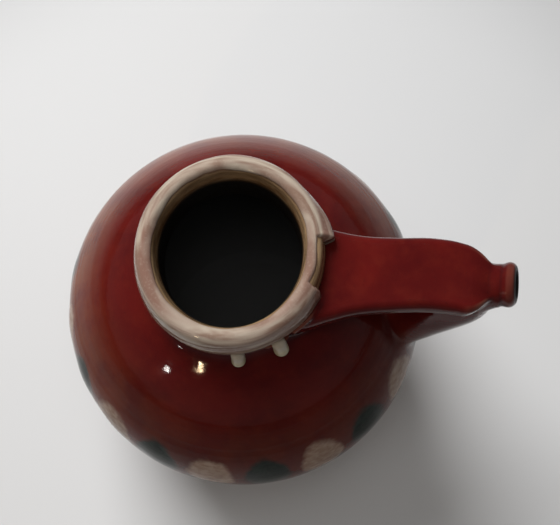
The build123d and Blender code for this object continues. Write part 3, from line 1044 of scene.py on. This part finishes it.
def bare_clay():
    """Trimmed clay of the foot, darker towards its top, where it meets the belly."""
    n = Nodes("bare_clay")
    where, x, y, z = n.place()
    _, radius = around(n, x, y)
    cloud = n.noise(where, 0.12, 4.0, 0.6)
    grit = n.noise(where, 2.2, 3.0, 0.7)
    trim = n.noise(n.vector(radius, 0.0, n.times(z, 2.0)), 1.1, 2.0, 0.5)
    colour = n.mix(cloud, (0.26, 0.16, 0.095), (0.36, 0.25, 0.16))
    colour = n.mix(n.ramp(grit, 0.55, 0.75, 0.0, 0.6), colour, (0.13, 0.075, 0.045))
    # Darker towards the top of the foot, under the belly's edge.
    colour = n.mix(n.ramp(z, 3.6, 5.6, 0.0, 0.85), colour, (0.10, 0.035, 0.018))
    normal = n.bump(n.plus(grit, trim), 0.0003, 0.7)
    return n.finish(colour, n.ramp(cloud, 0.2, 0.8, 0.72, 0.88), normal)


glaze, pale, brown = red_glaze(), pale_glaze(), brown_glaze()
dressing = (
    (foot, bare_clay(), "bare_clay", ("foot_ring",)),
    (bowl, glaze, "red_glaze", ("lower_bowl",)),
    (shell, glaze, "red_glaze", ("upper_shell",)),
    (spout, glaze, "red_glaze", ("spout_body",)),
    (nozzle, glaze, "red_glaze", ("spout_nozzle",)),
    (strap, glaze, "red_glaze", ("strap_handle",)),
    (collar_ring, brown, "brown_glaze", ("neck_collar",)),
    (coat, pale, "pale_glaze", ("collar_glaze",)),
    (beads, bead_glaze(), "pale_glaze", ("glaze_drips",)),
    (pale_dabs, glaze, "pale_dab", ("pale_spots",)),
    (dark_dabs, glaze, "dark_dab", ("dark_spots",)),
)
for piece, material, slot, nodes in dressing:
    piece.data.materials.append(material)
    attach(piece, "root")
    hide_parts(*nodes)


# ---------------------------------------------------------------- floor, light and camera
FLOOR_R = 1500
LIGHTS_AIM_AT = (0, 0, 0.07)
LAMP_DISTANCE = 600


def floor():
    """Pale round floor with a painted pool of light: its colour darkens away from the pot."""
    turn = np.linspace(0, 2 * math.pi, 96, endpoint=False)
    points = np.stack([FLOOR_R * np.cos(turn), FLOOR_R * np.sin(turn), 0 * turn], 1)
    mesh = bpy.data.meshes.new("floor")
    mesh.from_pydata((points * MM).tolist(), [], [tuple(range(len(turn)))])
    piece = bpy.data.objects.new("floor", mesh)
    bpy.context.scene.collection.objects.link(piece)
    n = Nodes("floor")
    where, x, y, _ = n.place()
    tone = n.noise(where, 0.004, 2.0, 0.5)
    colour = n.mix(tone, (0.60, 0.60, 0.60), (0.64, 0.64, 0.64))
    # Painted light: the floor's colour falls off from 165 mm to 330 mm out, as a pool of light would.
    painted_light_falloff = n.ramp(around(n, x, y)[1], 165.0, 330.0)
    mesh.materials.append(n.finish(n.mix(painted_light_falloff, colour, (0.36, 0.36, 0.36)), 0.9, None))


def area_light(name, toward, distance, size, power, tint=(1.0, 1.0, 1.0), mirrored=True, spread=180):
    """Square light that shines on the pot from a direction; mirrored lights show in the glaze."""
    data = bpy.data.lights.new(name, "AREA")
    data.size, data.energy, data.color = size * MM, power, tint
    data.spread = math.radians(spread)
    light = bpy.data.objects.new(name, data)
    bpy.context.scene.collection.objects.link(light)
    direction = Vector(toward).normalized()
    light.location = Vector(LIGHTS_AIM_AT) + direction * distance * MM
    light.rotation_euler = direction.to_track_quat("Z", "Y").to_euler()
    light.visible_glossy = mirrored
    return light


def lamp(name, start, toward, size, power, tint):
    """Small crisp lamp on the line that leaves a point of the pot in a direction."""
    light = area_light(name, toward, LAMP_DISTANCE, size, power, tint)
    light.location = (Vector(start) + Vector(toward).normalized() * LAMP_DISTANCE) * MM


def sky():
    """Dim grey surroundings, darker overhead."""
    world = bpy.data.worlds.new("world")
    bpy.context.scene.world = world
    world.use_nodes = True
    tree = world.node_tree
    coords = tree.nodes.new("ShaderNodeTexCoord")
    apart = tree.nodes.new("ShaderNodeSeparateXYZ")
    height = tree.nodes.new("ShaderNodeMapRange")
    tint = tree.nodes.new("ShaderNodeMix")
    tint.data_type = "RGBA"
    height.inputs["From Min"].default_value = 0.0
    height.inputs["From Max"].default_value = 0.45
    tint.inputs[6].default_value = (0.16, 0.16, 0.162, 1)
    tint.inputs[7].default_value = (0.05, 0.05, 0.051, 1)
    tree.links.new(coords.outputs["Generated"], apart.inputs[0])
    tree.links.new(apart.outputs["Z"], height.inputs["Value"])
    tree.links.new(height.outputs[0], tint.inputs["Factor"])
    tree.links.new(tint.outputs[2], tree.nodes["Background"].inputs["Color"])


floor()
area_light("soft_back", (-0.42, 0.55, 0.78), 800, 500, 2.6, mirrored=False, spread=90)
area_light("soft_top", (0.0, -0.05, 1.0), 800, 500, 0.45, mirrored=False, spread=90)
lamp("lamp_front", (-5.4, -31.2, 111.0), (-0.300, -0.817, 0.492), 24, 0.22, (1.0, 0.74, 0.45))
lamp("lamp_side", (-15.3, -32.3, 108.1), (-0.590, -0.753, 0.292), 20, 0.09, (1.0, 0.95, 0.9))

sky()

# Camera: place, bearing of its right side, tilt from straight down, and roll.
CAMERA_AT = (26.19, -61.66, 339.6)
CAMERA_AZIMUTH, CAMERA_TILT, CAMERA_ROLL = map(math.radians, (11.3, 16.07, -3.97))
SENSOR_WIDTH = 36.0
VIEW_WIDTH_AT_UNIT_DISTANCE = 0.7
across = Vector((math.cos(CAMERA_AZIMUTH), math.sin(CAMERA_AZIMUTH), 0))
ahead = Vector((-math.sin(CAMERA_AZIMUTH), math.cos(CAMERA_AZIMUTH), 0))
look = math.sin(CAMERA_TILT) * ahead - math.cos(CAMERA_TILT) * Vector((0, 0, 1))
above = across.cross(look)
right = math.cos(CAMERA_ROLL) * across + math.sin(CAMERA_ROLL) * above
above = -math.sin(CAMERA_ROLL) * across + math.cos(CAMERA_ROLL) * above
lens = bpy.data.cameras.new("camera")
lens.sensor_fit = "HORIZONTAL"
lens.sensor_width = SENSOR_WIDTH
lens.lens = SENSOR_WIDTH / VIEW_WIDTH_AT_UNIT_DISTANCE
lens.clip_start = 0.01
camera = bpy.data.objects.new("camera", lens)
bpy.context.scene.collection.objects.link(camera)
camera.matrix_world = Matrix((
    (right.x, above.x, -look.x, CAMERA_AT[0] * MM),
    (right.y, above.y, -look.y, CAMERA_AT[1] * MM),
    (right.z, above.z, -look.z, CAMERA_AT[2] * MM),
    (0, 0, 0, 1),
))
bpy.context.scene.camera = camera
bpy.context.scene.view_settings.view_transform = "Standard"
